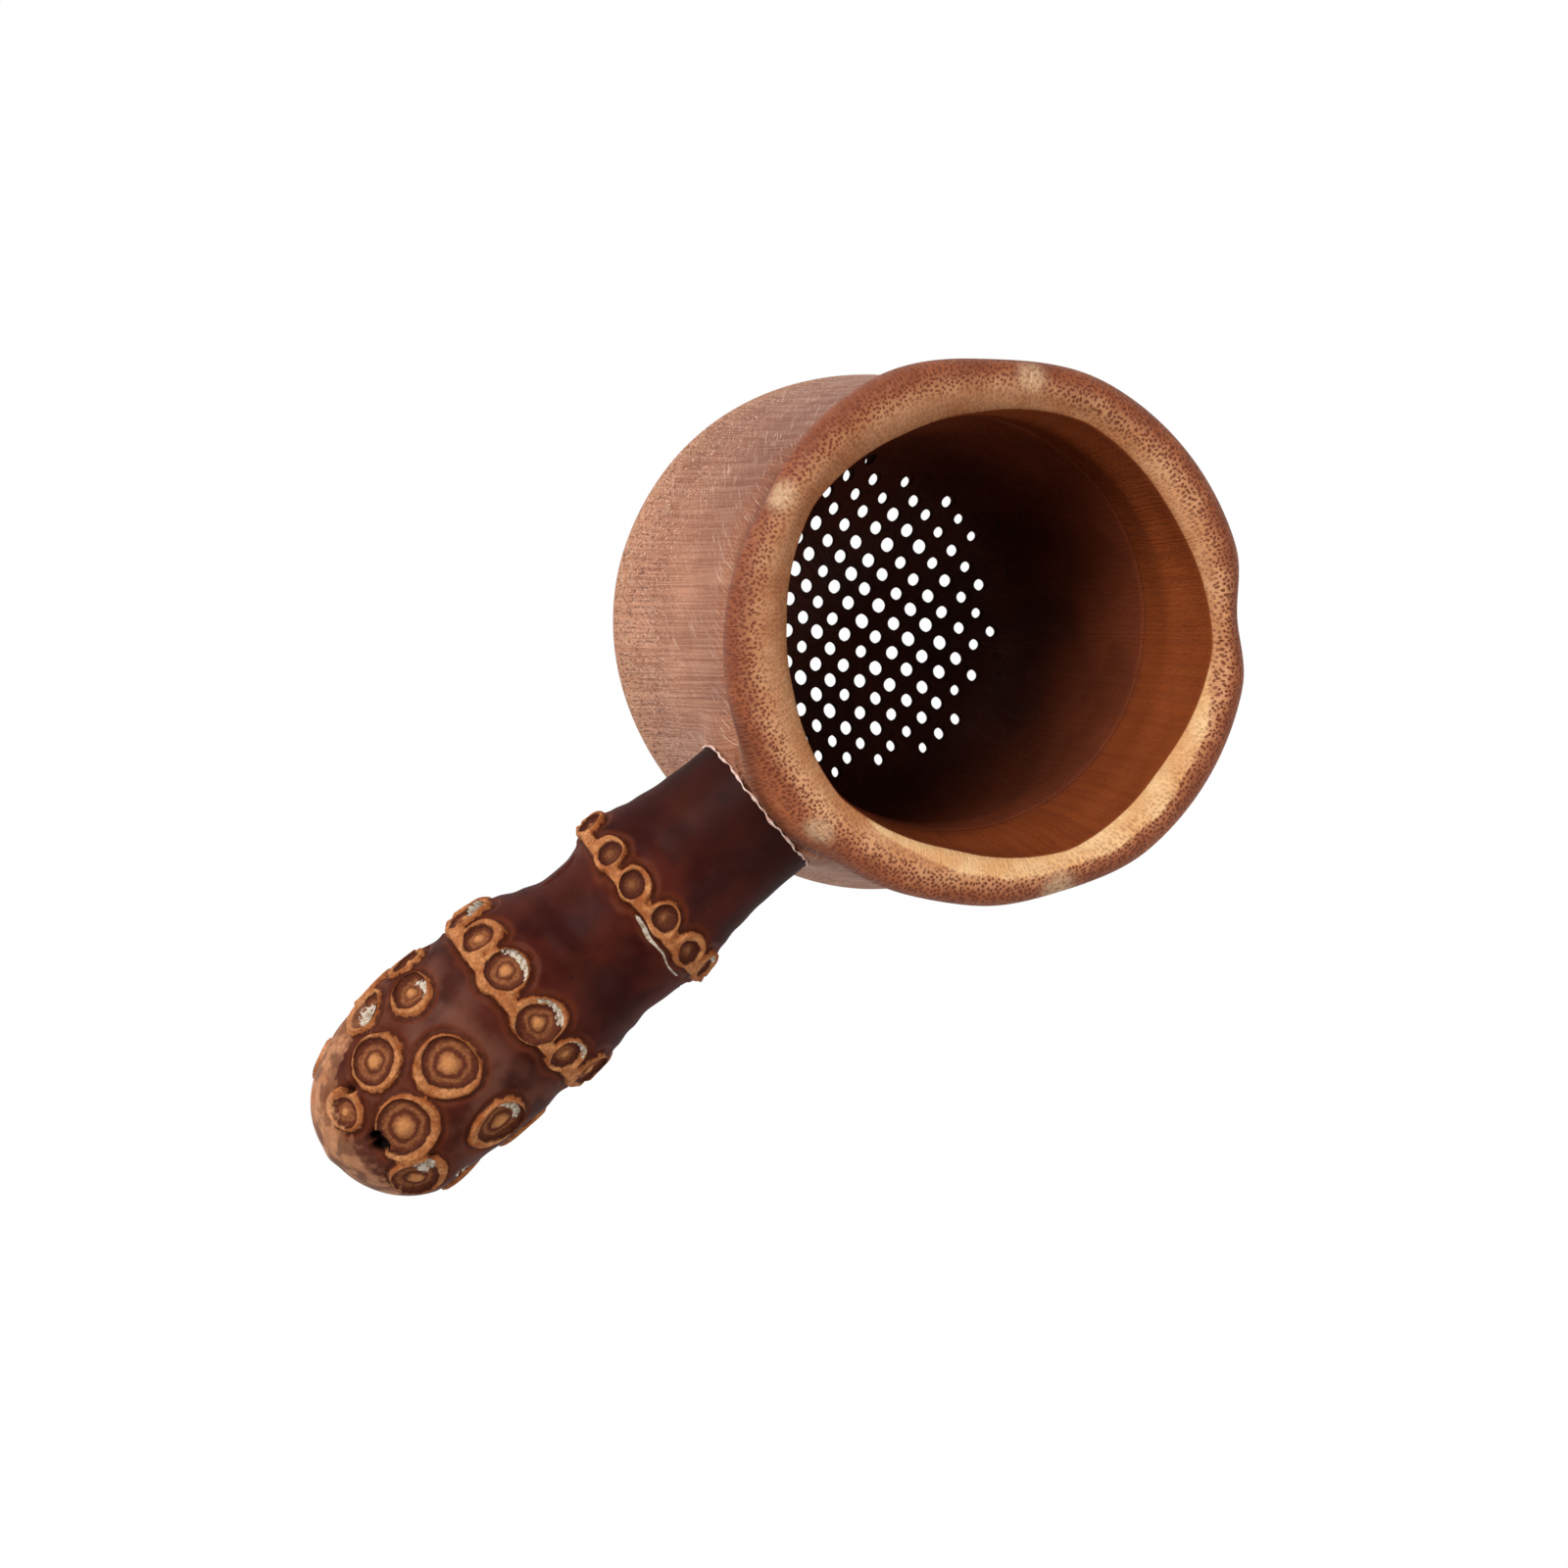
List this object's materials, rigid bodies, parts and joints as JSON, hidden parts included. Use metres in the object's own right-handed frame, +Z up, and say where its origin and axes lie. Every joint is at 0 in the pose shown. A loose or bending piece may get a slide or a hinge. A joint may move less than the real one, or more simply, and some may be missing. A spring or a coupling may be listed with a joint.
{
  "type": "tea strainer",
  "caption": "Bamboo root tea strainer: a lobed cup with a drilled, dished floor and a knobbly rhizome side handle, doweled and glued to the wall.",
  "frame": {"origin": "middle of the foot ring, on the surface that the strainer stands on", "axes": "+Z up along the cup's axis, +X towards the tip of the handle"},
  "size_m": [0.1306, 0.0684, 0.06],
  "materials": {
    "culm_bamboo": "turned and oiled, satin, end grain dotted on the lip",
    "rhizome_bamboo": "polished dark rhizome skin, satin",
    "dowel_bamboo": "raw, split and rounded",
    "dried_glue": "dried, slightly glossy"
  },
  "bodies": {
    "root": {"cup": "culm_bamboo", "handle": "rhizome_bamboo", "handle_dowel": "dowel_bamboo", "glue_seam": "dried_glue"}
  },
  "joints": []
}
